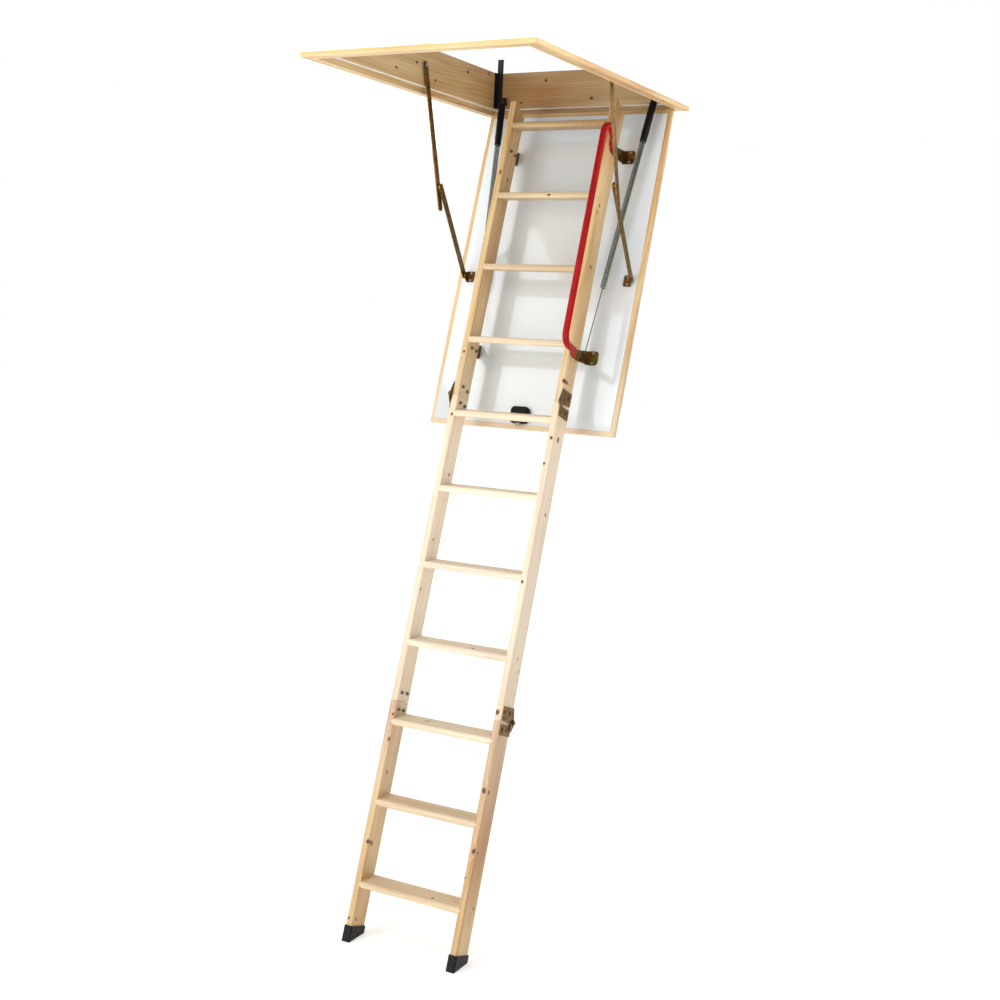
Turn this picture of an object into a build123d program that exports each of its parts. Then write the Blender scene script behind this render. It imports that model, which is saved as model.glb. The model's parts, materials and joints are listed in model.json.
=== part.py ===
from build123d import *
from math import cos, radians, sin
import os

# Three-section folding loft ladder, opened for climbing. Millimetres, +Z up.
# Origin: centre of the ceiling opening, in the plane of the frame's underside.
# +X is right as seen by the climber, +Y points to the hinged end of the hatch.

# Ceiling frame
OPENING_X, OPENING_Y = 720, 1190        # outside of the box
BOARD = 25
FRAME_HEIGHT = 150
REBATE, REBATE_HEIGHT = 15, 22
TRIM_WIDTH, TRIM_HEIGHT = 25, 16
FIXING_SPACING, FIXING_HEIGHT, FIXING_RADIUS = 800, 95, 3.2
SEAL_WIDTH, SEAL_THICKNESS = 9, 3.2

# Hatch
HATCH_ANGLE = 72
HATCH_GAP = 2
SKIN = 3
CORE = 15.4
SKIN_INSET = 16
RAIL_WIDTH = 45

# Ladder sections
TREAD_COUNT = 11
TREAD_SPACING = 250
TREAD_HATCH_GAP = -73                       # underside of the top tread
TREAD_THICKNESS = 22
TREAD_SPAN = 356
NOSE_RADIUS = 8
HOUSING = 6
STILE = 23
STILE_DEPTH = 82
STILE_STANDOFF = 60
STILE_START = 24
STILE_TOP_BEVEL = 28                    # the top cut falls this much from front to back
SEAMS = (1100, 2146)
SEAM_GAP = 0.4
PIVOT_STANDOFF = 7
FLOOR = -2733
FLOOR_REACH = 3100                      # well past the floor along the stiles, before trimming
FOOT_HEIGHT, FOOT_WALL, FOOT_SOLE = 50, 3.5, 6   # height along the stile's front

# Metal fittings
LEAF = 2.5
LEAF_LENGTH = 46
LEAF_START = 11
EAR_RADIUS = 9.5
STUD_RADIUS = 4
STUD_CLEARANCE = 0.06
BOLT_RADIUS = 3
BRACKET = 3
BRACKET_PLACES = (180, 905)
BRACKET_LEAN = 20                       # bolts sit this much further down than the flange
RAIL_RADIUS, RAIL_WALL, RAIL_BEND = 11, 1.5, 38
RAIL_X, RAIL_N = 218, 262
RAIL_TAB, RAIL_TAB_WIDTH, RAIL_NECK = 4.6, 26, 26
RAIL_LEAN = (0, -0.485, -0.875)         # way that the upper leg goes back to its bracket
STAY_WIDTH, STAY_THICKNESS, STAY_OVERHANG = 24, 4, 70
STAY_TOP = (28, 88)                     # on the frame, (Y, Z)
STAY_ELBOW = (150, -300)                # (Y, Z)
STAY_FOOT = (628, 44)                   # on the hatch, (along, above)
STAY_UPPER_X, STAY_LOWER_X = 326, 315
SPRING_TOP = (292, -32, 64)             # (X, along, above)
SPRING_LOW = (209, 903, 66)
COIL_RADIUS, WIRE_RADIUS, COIL_PITCH = 8, 1.6, 8
HOOK_RADIUS = 2.2
COIL_SPAN = (120, 672)
CAP_RADIUS, CAP_SPAN = 12.5, (14, 172)  # sleeve over the spring's upper end

# Lock
LOCK_AT = 1122
LOCK_HALF_X, LOCK_HALF_Y, LOCK_DEPTH = 33, 29, 22
LOCK_CORNER, LOCK_CROWN = 14, 6
LOCK_BOLT_HALF, LOCK_BOLT_DEPTH, LOCK_BOLT_TRAVEL = 8, 9, 12
LOCK_BOLT_END = 1160
BARREL_RADIUS, KEY_HALF, KEY_REACH = 6, 4, 8
STRIKE_HALF_X, STRIKE_HALF_Z, STRIKE_THICKNESS = 28, 13, 2

# Fastenings
CORNER_SCREW, CORNER_HEAD, CORNER_HEAD_DEPTH = 2.5, 5.5, 3
CORNER_SCREW_HEIGHTS = (50, 115)
FLANGE_SCREW, FLANGE_HEAD, FLANGE_HEAD_DEPTH, FLANGE_SPACING = 2, 4.5, 2, 34
BOLT_HEAD, BOLT_HEAD_DEPTH = 6.5, 3
WASHER, WASHER_DEPTH = 6.5, 1.2
NUT, NUT_DEPTH = 5, 4
RIVET_HEAD, RIVET_COLLAR = 7, 9
STUD_HEAD, STUD_WASHER = 8, 11
HINGE_HALF, HINGE_PITCH, HINGE_COUNT, HINGE_LEAF, HINGE_PIN = 300, 60, 10, 2, 2

# Worked out from the sizes above
HALF_X, HALF_Y = OPENING_X / 2, OPENING_Y / 2
INNER_X, INNER_Y = HALF_X - BOARD, HALF_Y - BOARD
REBATE_X, REBATE_Y = INNER_X + REBATE, INNER_Y + REBATE
KNUCKLE = 5
PIVOT = (0, REBATE_Y, -KNUCKLE)
OPEN = Pos(*PIVOT) * Rot(HATCH_ANGLE, 0, 0)
COS, SIN = cos(radians(HATCH_ANGLE)), sin(radians(HATCH_ANGLE))
HATCH_X = REBATE_X - HATCH_GAP
HATCH_LENGTH = 2 * REBATE_Y - HATCH_GAP
HATCH_FACE = KNUCKLE + 2 * SKIN + CORE
STILE_BACK = HATCH_FACE + STILE_STANDOFF
STILE_FRONT = STILE_BACK + STILE_DEPTH
STILE_IN = TREAD_SPAN / 2
STILE_OUT = STILE_IN + STILE
SECTION_TREADS = ((1, 2, 3, 4), (5, 6, 7, 8), (9, 10, 11))
CORE_BOTTOM, CORE_TOP = KNUCKLE + SKIN, KNUCKLE + SKIN + CORE
LOCK_HEIGHT = HATCH_FACE + LOCK_DEPTH / 2
BARREL_HOLE = BARREL_RADIUS + 0.2


def box(x0, x1, y0, y1, z0, z1):
    """Block between two corners."""
    return Pos((x0 + x1) / 2, (y0 + y1) / 2, (z0 + z1) / 2) * Box(x1 - x0, y1 - y0, z1 - z0)


def flat(x0, x1, along0, along1, above0, above1):
    """Block in the hatch's own frame: along it from the hinge, above its hinge line."""
    return box(x0, x1, -along1, -along0, above0, above1)


def rod(radius, x0, x1, y, z):
    """Round bar along X."""
    return Pos((x0 + x1) / 2, y, z) * Rot(0, 90, 0) * Cylinder(radius, abs(x1 - x0))


def pole(radius, x, y, z0, z1):
    """Round bar along Z."""
    return Pos(x, y, (z0 + z1) / 2) * Cylinder(radius, z1 - z0)


def plate(outline, x0, x1):
    """Flat plate from a sketch drawn as (Y, Z), between two X planes."""
    return Pos(x0, 0, 0) * extrude(Plane.YZ * outline, x1 - x0)


def hull(*outlines):
    """Sketch wrapped around several outlines."""
    return make_hull([edge for outline in outlines for edge in outline.edges()])


def disc(radius, y, z):
    return Pos(y, z) * Circle(radius)


def panel(y0, y1, z0, z1):
    return Pos((y0 + y1) / 2, (z0 + z1) / 2) * Rectangle(abs(y1 - y0), abs(z1 - z0))


def eased(block, radius, axis):
    """Break the long edges of a timber."""
    return fillet(block.edges().filter_by(axis), radius)


def both(right):
    return [right, mirror(right, about=Plane.YZ)]


def group(solids):
    return Compound(children=[item for solid in solids for item in solid.solids()])


def save(node, shape):
    export_step(shape, f"parts/{node}.step")


def save_pair(node, right):
    right_solid, left_solid = both(right)
    save(f"{node}_right", right_solid)
    save(f"{node}_left", left_solid)


# ---------------------------------------------------------------- frame
def corner_screws():
    """Countersunk screws through the side boards into the end boards."""
    screws = []
    for y in (-HALF_Y + BOARD / 2, HALF_Y - BOARD / 2):
        for z in CORNER_SCREW_HEIGHTS:
            shank = rod(CORNER_SCREW, INNER_X - 35, HALF_X - CORNER_HEAD_DEPTH, y, z)
            head = Pos(HALF_X - CORNER_HEAD_DEPTH / 2, y, z) * Rot(0, 90, 0) * Cone(
                CORNER_SCREW, CORNER_HEAD, CORNER_HEAD_DEPTH)
            screws += both(shank + head)
    return screws


def stay_stud():
    """Shoulder stud that carries the upper stay arm on a side board."""
    y, z = STAY_TOP
    arm_out = STAY_UPPER_X + STAY_THICKNESS
    stud = rod(STUD_RADIUS, STAY_UPPER_X - 0.3, INNER_X + 18, y, z)
    washer = rod(STUD_WASHER, arm_out + 0.3, INNER_X, y, z)
    head = rod(STUD_HEAD, STAY_UPPER_X - 3.3, STAY_UPPER_X - 0.3, y, z)
    return stud + washer + head


def side_board():
    board = eased(box(INNER_X, HALF_X, -HALF_Y, HALF_Y, 0, FRAME_HEIGHT), 1.5, Axis.Y)
    board -= box(INNER_X - 5, REBATE_X, -REBATE_Y, REBATE_Y, -5, REBATE_HEIGHT)
    for y in (-FIXING_SPACING / 2, FIXING_SPACING / 2):
        board -= rod(FIXING_RADIUS, INNER_X - 1, HALF_X + 1, y, FIXING_HEIGHT)
    for fixing in corner_screws() + [stay_stud()]:
        board -= fixing
    return board


def end_board(sign):
    y0, y1 = sorted((sign * INNER_Y, sign * HALF_Y))
    board = box(-INNER_X, INNER_X, y0, y1, 0, FRAME_HEIGHT)
    board = eased(board, 1.5, Axis.X)
    r0, r1 = sorted((sign * (INNER_Y - 5), sign * REBATE_Y))
    board -= box(-INNER_X, INNER_X, r0, r1, -5, REBATE_HEIGHT)
    for screw in corner_screws():
        board -= screw
    return board


def ring(half_x, half_y, width, z0, z1):
    return box(-half_x, half_x, -half_y, half_y, z0, z1) - box(
        width - half_x, half_x - width, width - half_y, half_y - width, z0 - 1, z1 + 1)


def trim():
    ring_piece = ring(HALF_X + TRIM_WIDTH, HALF_Y + TRIM_WIDTH, TRIM_WIDTH, 0, TRIM_HEIGHT)
    outer = [e for e in ring_piece.edges() if abs(e.center().Z) < 0.1
             and (abs(e.center().X) > HALF_X + 1 or abs(e.center().Y) > HALF_Y + 1)]
    return fillet(outer, 3)


def strike():
    """Keeper plate with the slot that the lock bolt enters."""
    height = LOCK_HEIGHT - KNUCKLE
    keeper = box(-STRIKE_HALF_X, STRIKE_HALF_X, -INNER_Y, -INNER_Y + STRIKE_THICKNESS,
                 height - STRIKE_HALF_Z, height + STRIKE_HALF_Z)
    keeper = fillet(keeper.edges().filter_by(Axis.Y), 4)
    return keeper - lock_pocket()


def lock_pocket():
    height = LOCK_HEIGHT - KNUCKLE
    half_x, half_z = LOCK_BOLT_HALF + 1, LOCK_BOLT_DEPTH / 2 + 1
    return box(-half_x, half_x, -INNER_Y - 14, -INNER_Y + 5, height - half_z, height + half_z)


def spring_post():
    """Angle post in the hinge-end corner, with the lug that anchors a spring."""
    x, along, above = SPRING_TOP
    corner_x, corner_y = INNER_X, INNER_Y
    lug_x = x + WIRE_RADIUS + 0.4
    web = box(lug_x, corner_x, corner_y - 3, corner_y, 34, 62)
    post = box(corner_x - 22, corner_x, corner_y - 3, corner_y, 26, 199)
    post += box(corner_x - 3, corner_x, corner_y - 24, corner_y, 26, FRAME_HEIGHT)
    top = Pos(0, PIVOT[1], PIVOT[2]) * Rot(HATCH_ANGLE, 0, 0) * Pos(0, -along, above)
    y, z = top.position.Y, top.position.Z
    lug = plate(hull(disc(8, y, z), panel(corner_y - 3, corner_y - 1, z - 12, z + 12)),
                lug_x, lug_x + BRACKET)
    return post + web + lug - rod(HOOK_RADIUS + 0.4, x - 5, x + 9, y, z)


def hinge_knuckles(first):
    starts = [-HINGE_HALF + HINGE_PITCH * i for i in range(first, HINGE_COUNT, 2)]
    return [(start + 0.3, start + HINGE_PITCH - 0.3) for start in starts]


def frame_leaf():
    """Leaf of the long hinge on the frame, with the pin fixed in its knuckles."""
    leaf = box(-HINGE_HALF, HINGE_HALF, REBATE_Y + 4, HALF_Y + TRIM_WIDTH - 4, -HINGE_LEAF, 0)
    for x0, x1 in hinge_knuckles(0):
        leaf += rod(KNUCKLE, x0, x1, PIVOT[1], PIVOT[2])
        leaf += box(x0, x1, PIVOT[1], PIVOT[1] + 6, -HINGE_LEAF, 0)
    return leaf + rod(HINGE_PIN, -HINGE_HALF, HINGE_HALF, PIVOT[1], PIVOT[2])


def make_frame():
    pocket = lock_pocket()
    save_pair("frame_side", side_board())
    save("frame_end_front", end_board(-1) - pocket)
    save("frame_end_hinge", end_board(1))
    save("frame_trim", trim())
    save("frame_seal", ring(REBATE_X - 1, REBATE_Y - 1, SEAL_WIDTH, REBATE_HEIGHT - SEAL_THICKNESS,
                            REBATE_HEIGHT))
    save("frame_screws", group(corner_screws()))
    save("frame_hinge_leaf", frame_leaf())
    save("spring_posts", group(both(spring_post())))
    save("stay_studs", group(both(stay_stud())))
    save("lock_strike", strike())


# ---------------------------------------------------------------- hatch
def hatch_leaf():
    leaf = flat(-HINGE_HALF, HINGE_HALF, 4, 30, KNUCKLE - HINGE_LEAF, KNUCKLE)
    for x0, x1 in hinge_knuckles(1):
        leaf += rod(KNUCKLE, x0, x1, 0, 0)
        leaf += flat(x0, x1, 0, 6, KNUCKLE - HINGE_LEAF, KNUCKLE)
    for x0, x1 in hinge_knuckles(0):
        leaf -= rod(KNUCKLE + 0.4, x0 - 0.3, x1 + 0.3, 0, 0)
    return leaf - rod(HINGE_PIN + STUD_CLEARANCE, -HINGE_HALF - 10, HINGE_HALF + 10, 0, 0)


def lock_case():
    """Case of the hatch lock, with the barrel and key square that reach the underside."""
    case = flat(-LOCK_HALF_X, LOCK_HALF_X, LOCK_AT - LOCK_HALF_Y, LOCK_AT + LOCK_HALF_Y,
                HATCH_FACE, HATCH_FACE + LOCK_DEPTH)
    case = fillet(case.edges().filter_by(Axis.Z), LOCK_CORNER)
    case = fillet(case.faces().sort_by(Axis.Z)[-1].edges(), LOCK_CROWN)
    barrel = pole(BARREL_RADIUS, 0, -LOCK_AT, KNUCKLE, HATCH_FACE + 2)
    key_square = flat(-KEY_HALF, KEY_HALF, LOCK_AT - KEY_HALF, LOCK_AT + KEY_HALF,
                      KNUCKLE - KEY_REACH, KNUCKLE)
    half_x, half_n = LOCK_BOLT_HALF + 0.3, LOCK_BOLT_DEPTH / 2 + 0.3
    channel = flat(-half_x, half_x, LOCK_AT + 2, LOCK_AT + 40, LOCK_HEIGHT - half_n, LOCK_HEIGHT + half_n)
    return case + barrel + key_square - channel


def lock_bolt():
    half_n = LOCK_BOLT_DEPTH / 2
    tip = flat(-LOCK_BOLT_HALF, LOCK_BOLT_HALF, LOCK_AT + 2 + LOCK_BOLT_TRAVEL, LOCK_BOLT_END,
               LOCK_HEIGHT - half_n, LOCK_HEIGHT + half_n)
    return chamfer(tip.faces().sort_by(Axis.Y)[0].edges().filter_by(Axis.X), 3)


def web_bolts(place):
    return [(place + BRACKET_LEAN, STILE_BACK + 16), (place + BRACKET_LEAN, STILE_BACK + 52)]


def ladder_bracket(place):
    """Angle bracket that carries a stile, and the handrail's end, on the hatch."""
    web = plate(hull(panel(-place - 22, -place + 22, HATCH_FACE, HATCH_FACE + 8),
                     *(disc(14, -along, above) for along, above in web_bolts(place))),
                STILE_OUT, STILE_OUT + BRACKET)
    foot = flat(STILE_OUT, STILE_OUT + 42, place - 24, place + 24, HATCH_FACE, HATCH_FACE + BRACKET)
    foot = fillet(foot.edges().filter_by(Axis.Z).sort_by(Axis.X)[-2:], 10)
    bead = pole(12, STILE_OUT + 23, -place, HATCH_FACE, HATCH_FACE + BRACKET + 2.5)
    piece = web + foot + fillet(bead.edges().sort_by(Axis.Z)[-1:], 2)
    for along, above in web_bolts(place):
        piece -= rod(BOLT_RADIUS, STILE_OUT - 5, STILE_OUT + 9, -along, above)
    piece -= rod(HOOK_RADIUS + 0.4, STILE_OUT - 5, STILE_OUT + 9, -SPRING_LOW[1], SPRING_LOW[2])
    for screw in flange_screws(place):
        piece -= screw
    return piece


def flange_screws(place):
    screws = []
    for along in (place - FLANGE_SPACING / 2, place + FLANGE_SPACING / 2):
        x, seat = STILE_OUT + 23, HATCH_FACE + BRACKET
        shank = pole(FLANGE_SCREW, x, -along, CORE_BOTTOM + 1, seat)
        head = pole(FLANGE_HEAD, x, -along, seat, seat + FLANGE_HEAD_DEPTH)
        screws.append(shank + fillet(head.edges().sort_by(Axis.Z)[-1:], 1.4))
    return screws


def bolt(along, above, outer):
    """Cup-head bolt through a stile, with its washer and nut inside."""
    shank = rod(BOLT_RADIUS, STILE_IN - 8, outer, -along, above)
    head = rod(BOLT_HEAD, outer, outer + BOLT_HEAD_DEPTH, -along, above)
    head = fillet(head.edges().sort_by(Axis.X)[-1:], BOLT_HEAD_DEPTH - 0.4)
    seat = STILE_IN - WASHER_DEPTH
    washer = rod(WASHER, seat, STILE_IN, -along, above)
    nut = plate(Pos(-along, above) * RegularPolygon(NUT, 6), seat - NUT_DEPTH, seat)
    return shank + head + washer + nut


def bracket_bolts():
    """Bolts through brackets and stiles; the outermost also clamp the handrail's ends."""
    bolts = []
    for place in BRACKET_PLACES:
        (along, low), (_, high) = web_bolts(place)
        rail_side = bolt(along, high, STILE_OUT + BRACKET + RAIL_TAB)
        plain_side = mirror(bolt(along, high, STILE_OUT + BRACKET), about=Plane.YZ)
        bolts += [rail_side, plain_side] + both(bolt(along, low, STILE_OUT + BRACKET))
    return bolts


def rail_end(tube_end, eye):
    """Flattened tube end, from the round tube to the eye that its bolt holds."""
    direction = (eye - tube_end).normalized()
    tab_x = STILE_OUT + BRACKET + RAIL_TAB / 2
    start = Plane(origin=tube_end, x_dir=(1, 0, 0), z_dir=direction)
    flat_at = tube_end + direction * RAIL_NECK
    stop = Plane(origin=(tab_x, flat_at.Y, flat_at.Z), x_dir=(1, 0, 0), z_dir=direction)
    pressed = stop * RectangleRounded(RAIL_TAB, RAIL_TAB_WIDTH, 2)
    neck = loft([start * Circle(RAIL_RADIUS), pressed], ruled=True)
    half = RAIL_TAB_WIDTH / 2
    tab = plate(hull(disc(half, eye.Y, eye.Z), disc(half, flat_at.Y, flat_at.Z)),
                tab_x - RAIL_TAB / 2, tab_x + RAIL_TAB / 2)
    return neck + tab - rod(BOLT_RADIUS, tab_x - 9, tab_x + 9, eye.Y, eye.Z)


def handrail():
    """Bent tube beside the right stile: a long grip and two legs to the brackets."""
    holds = [web_bolts(place)[1] for place in BRACKET_PLACES]
    eyes = [Vector(RAIL_X, -along, above) for along, above in holds]
    lean = Vector(*RAIL_LEAN)
    top_corner = eyes[0] - lean * ((eyes[0].Z - RAIL_N) / lean.Z)
    low_corner = Vector(RAIL_X, eyes[1].Y, RAIL_N)
    upper_start = eyes[0] - lean * 40
    lower_start = eyes[1] + Vector(0, 0, 40)
    path = FilletPolyline(lower_start, low_corner, top_corner, upper_start, radius=RAIL_BEND)
    section = Circle(RAIL_RADIUS) - Circle(RAIL_RADIUS - RAIL_WALL)
    tube = sweep(Plane(origin=lower_start, z_dir=(0, 0, 1)) * section, path=path)
    return tube + rail_end(upper_start, eyes[0]) + rail_end(lower_start, eyes[1])


def stay_bracket():
    """Small angle bracket with the stud that carries the lower stay arm."""
    along, above = STAY_FOOT
    web_x = STAY_LOWER_X - 3
    web = plate(hull(panel(-along - 20, -along + 20, HATCH_FACE, HATCH_FACE + 3),
                     disc(11, -along, above)), web_x - 3, web_x)
    foot = flat(web_x - 28, web_x, along - 20, along + 20, HATCH_FACE, HATCH_FACE + 3)
    foot = fillet(foot.edges().filter_by(Axis.Z).sort_by(Axis.X)[:2], 6)
    arm_out = STAY_LOWER_X + STAY_THICKNESS
    stud = rod(STUD_RADIUS, web_x, arm_out + 0.3, -along, above)
    shoulder = rod(RIVET_COLLAR, web_x, STAY_LOWER_X - 0.3, -along, above)
    head = rod(STUD_HEAD, arm_out + 0.3, arm_out + 3, -along, above)
    return web + foot + stud + shoulder + head


def make_hatch():
    core_x, core_0, core_1 = HATCH_X - RAIL_WIDTH, HATCH_GAP + RAIL_WIDTH, HATCH_LENGTH - RAIL_WIDTH
    rail = flat(core_x, HATCH_X, HATCH_GAP, HATCH_LENGTH, CORE_BOTTOM, CORE_TOP)
    screws = [s for place in BRACKET_PLACES for screw in flange_screws(place) for s in both(screw)]
    core = flat(-core_x, core_x, core_0, core_1, CORE_BOTTOM, CORE_TOP)
    skin_in = flat(-HATCH_X + SKIN_INSET, HATCH_X - SKIN_INSET, HATCH_GAP + SKIN_INSET,
                   HATCH_LENGTH - SKIN_INSET, CORE_TOP, HATCH_FACE)
    skin_out = flat(-HATCH_X, HATCH_X, HATCH_GAP, HATCH_LENGTH, KNUCKLE, CORE_BOTTOM)
    barrel_hole = pole(BARREL_HOLE, 0, -LOCK_AT, 0, HATCH_FACE + 5)
    ends = {"top": (HATCH_GAP, core_0), "bottom": (core_1, HATCH_LENGTH)}
    save_pair("hatch_rail", OPEN * rail)
    for name, (start, stop) in ends.items():
        end = flat(-core_x, core_x, start, stop, CORE_BOTTOM, CORE_TOP)
        save(f"hatch_rail_{name}", OPEN * (end - barrel_hole))
    for screw in screws:
        core -= screw
        skin_in -= screw
    save("hatch_core", OPEN * (core - barrel_hole))
    save("hatch_skin_inner", OPEN * (skin_in - barrel_hole))
    save("hatch_skin_outer", OPEN * (skin_out - barrel_hole))
    save("hatch_hinge_leaf", OPEN * hatch_leaf())
    save("lock_case", OPEN * lock_case())
    save("lock_bolt", OPEN * lock_bolt())
    for name, place in zip(("upper", "lower"), BRACKET_PLACES):
        save(f"ladder_brackets_{name}", group(OPEN * p for p in both(ladder_bracket(place))))
    save("bracket_bolts", group(OPEN * b for b in bracket_bolts()))
    save("bracket_screws", group(OPEN * s for s in screws))
    save("handrail", OPEN * handrail())
    save("stay_brackets", group(OPEN * b for b in both(stay_bracket())))


# ---------------------------------------------------------------- ladder sections
def along_at(z, above):
    """Distance along the hatch of a point at a height, at a given offset above it."""
    return (PIVOT[2] + above * COS - z) / SIN


def world_yz(along, above):
    return PIVOT[1] - along * COS - above * SIN, PIVOT[2] - along * SIN + above * COS


def tread(index):
    """Level board with a rounded nosing flush with the stiles, and grip grooves."""
    z0 = TREAD_HATCH_GAP - TREAD_SPACING * (index - 1)
    z1 = z0 + TREAD_THICKNESS
    front0, front1 = (world_yz(along_at(z, STILE_FRONT), STILE_FRONT)[0] for z in (z0, z1))
    back = world_yz(along_at(z0, STILE_BACK + 4), STILE_BACK + 4)[0]
    outline = Polyline((front0, z0), (back, z0), (back, z1), (front1, z1), close=True)
    half = STILE_IN + HOUSING
    board = plate(make_face(outline), -half, half)
    nose = board.edges().filter_by(Axis.X).sort_by(Axis.Y)[:2]
    board = fillet(nose, NOSE_RADIUS)
    for i in range(5):
        y = front1 + 16 + 9 * i
        board -= box(-half - 1, half + 1, y, y + 2.4, z1 - 0.9, z1 + 1)
    return board


def stile_blank(along0, along1):
    return eased(flat(STILE_IN, STILE_OUT, along0, along1, STILE_BACK, STILE_FRONT), 3, Axis.Y)


def top_cut():
    """Wedge taken off the top of the first stiles."""
    outline = Polyline((-STILE_START, STILE_FRONT), (-STILE_START - STILE_TOP_BEVEL, STILE_BACK),
                       (-STILE_START - STILE_TOP_BEVEL, STILE_BACK - 5), (-STILE_START + 5, STILE_BACK - 5),
                       (-STILE_START + 5, STILE_FRONT), close=True)
    return plate(make_face(outline), STILE_IN - 1, STILE_OUT + 1)


class Joint:
    """Plate hinge at a seam; toward is +1 when the pivot is in front of the stiles."""

    def __init__(self, seam, toward, upper, lower):
        self.seam, self.toward = seam, toward
        self.edge = STILE_FRONT if toward > 0 else STILE_BACK
        self.above = self.edge + toward * PIVOT_STANDOFF
        self.upper = [(seam + a, self.edge - toward * n) for a, n in upper]
        self.lower = [(seam + a, self.edge - toward * n) for a, n in lower]

    def plate_area(self, along0, along1, depth=STILE_DEPTH - 7):
        near = self.edge - self.toward
        return panel(-along1, -along0, near, near - self.toward * depth)

    def upper_leaf(self):
        eye = disc(EAR_RADIUS, -self.seam, self.above)
        area = self.plate_area(self.seam - LEAF_LENGTH, self.seam - 3)
        leaf = plate(hull(eye, area), STILE_OUT, STILE_OUT + LEAF)
        leaf -= flat(STILE_OUT - 1, STILE_OUT + 0.3, self.seam - 1, self.seam + 20, 0, 300)
        leaf += rod(STUD_RADIUS, STILE_OUT + LEAF, STILE_OUT + 6.7, -self.seam, self.above)
        leaf += rod(RIVET_HEAD, STILE_OUT + 5.7, STILE_OUT + 8.4, -self.seam, self.above)
        return leaf - group(bolt(a, n, STILE_OUT + LEAF) for a, n in self.upper)

    def lower_leaf(self):
        x0, x1 = STILE_OUT + LEAF + 0.3, STILE_OUT + 2 * LEAF + 0.3
        start = self.seam + LEAF_START
        area = self.plate_area(start, self.seam + LEAF_LENGTH)
        strap = self.plate_area(start, start + 20, 14)
        leaf = plate(area, STILE_OUT, STILE_OUT + LEAF) + plate(strap, STILE_OUT, x1)
        leaf += plate(hull(disc(EAR_RADIUS, -self.seam, self.above), strap), x0, x1)
        leaf -= rod(STUD_RADIUS + STUD_CLEARANCE, x0 - 1, x1 + 1, -self.seam, self.above)
        return leaf - group(bolt(a, n, STILE_OUT + LEAF) for a, n in self.lower)


JOINT_1 = Joint(SEAMS[0], 1, ((-34, 22), (-26, 58)), ((22, 26), (25, 60)))
JOINT_2 = Joint(SEAMS[1], -1, ((-28, 24), (-28, 60)), ((28, 26), (28, 60)))


def section_bolts(places):
    return [b for along, above in places for b in both(bolt(along, above, STILE_OUT + LEAF))]


def foot_slab(z0, z1):
    return box(-400, 400, -1500, 1500, z0, z1)


def foot():
    """Plastic shoe over the stile's end, its rim square to the stile and its sole level."""
    wall, rim = FOOT_WALL, along_at(FLOOR, STILE_FRONT) - FOOT_HEIGHT
    outer = flat(STILE_IN - wall, STILE_OUT + wall, rim, FLOOR_REACH, STILE_BACK - wall,
                 STILE_FRONT + wall)
    shoe = OPEN * eased(outer, 4, Axis.Y) & foot_slab(FLOOR, 0)
    bore = OPEN * stile_blank(rim - 10, FLOOR_REACH) & foot_slab(FLOOR + FOOT_SOLE, 0)
    shoe -= bore
    for i in range(5):
        y = shoe.bounding_box().min.Y + 12 + 16 * i
        shoe -= box(STILE_IN - 10, STILE_OUT + 10, y, y + 4, FLOOR - 1, FLOOR + 1.5)
    return shoe


def make_sections():
    ends = ((STILE_START, SEAMS[0] - SEAM_GAP), (SEAMS[0] + SEAM_GAP, SEAMS[1] - SEAM_GAP),
            (SEAMS[1] + SEAM_GAP, FLOOR_REACH))
    bolt_places = (JOINT_1.upper, JOINT_1.lower + JOINT_2.upper, JOINT_2.lower)
    for number, (start, stop) in enumerate(ends):
        treads = {i: tread(i) for i in SECTION_TREADS[number]}
        bolts = group(section_bolts(bolt_places[number]))
        stile = OPEN * (stile_blank(start, stop) - bolts)
        for board in treads.values():
            stile -= board
        if number == 0:
            stile -= OPEN * group(bracket_bolts() + [top_cut()])
        if number == 2:
            stile &= foot_slab(FLOOR + FOOT_SOLE, 0)
        save_pair(f"stile_{number + 1}", stile)
        save(f"section_{number + 1}_bolts", OPEN * bolts)
        for i, board in treads.items():
            save(f"tread_{i:02d}", board)
    for number, joint in enumerate((JOINT_1, JOINT_2), 1):
        save(f"joint_{number}_upper_leaves", group(OPEN * p for p in both(joint.upper_leaf())))
        save(f"joint_{number}_lower_leaves", group(OPEN * p for p in both(joint.lower_leaf())))
    save_pair("foot", foot())


# ---------------------------------------------------------------- stays and springs
def arm(start, stop, x0, overhang):
    """Flat bar with an eye at each end; overhang carries it past its second eye."""
    run = Vector(*stop) - Vector(*start)
    tip = Vector(*stop) + run.normalized() * overhang
    bar = plate(hull(disc(STAY_WIDTH / 2, *start), disc(STAY_WIDTH / 2, tip.X, tip.Y)),
                x0, x0 + STAY_THICKNESS)
    return bar - rod(STUD_RADIUS + STUD_CLEARANCE, x0 - 1, x0 + STAY_THICKNESS + 1, *start)


def make_stays():
    """Arms of the knee stays; each carries its own half of the elbow rivet."""
    low = world_yz(*STAY_FOOT)
    upper = arm(STAY_TOP, STAY_ELBOW, STAY_UPPER_X, STAY_OVERHANG)
    outer = STAY_UPPER_X + STAY_THICKNESS
    inner_face = STAY_LOWER_X + STAY_THICKNESS
    upper += rod(RIVET_HEAD, outer, outer + 3, *STAY_ELBOW)
    upper += rod(RIVET_COLLAR, inner_face + 0.4, STAY_UPPER_X, *STAY_ELBOW)
    lower = arm(low, STAY_ELBOW, STAY_LOWER_X, 0)
    lower += rod(RIVET_HEAD, STAY_LOWER_X - 3, STAY_LOWER_X, *STAY_ELBOW)
    save_pair("stay_upper", upper)
    save_pair("stay_lower", lower)


def spring_frame():
    """Plane whose Z runs down one spring, from its anchor to its hook."""
    (x0, a0, n0), (x1, a1, n1) = SPRING_TOP, SPRING_LOW
    top, low = Vector(x0, -a0, n0), Vector(x1, -a1, n1)
    return Plane(origin=top, z_dir=low - top), (low - top).length


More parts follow.
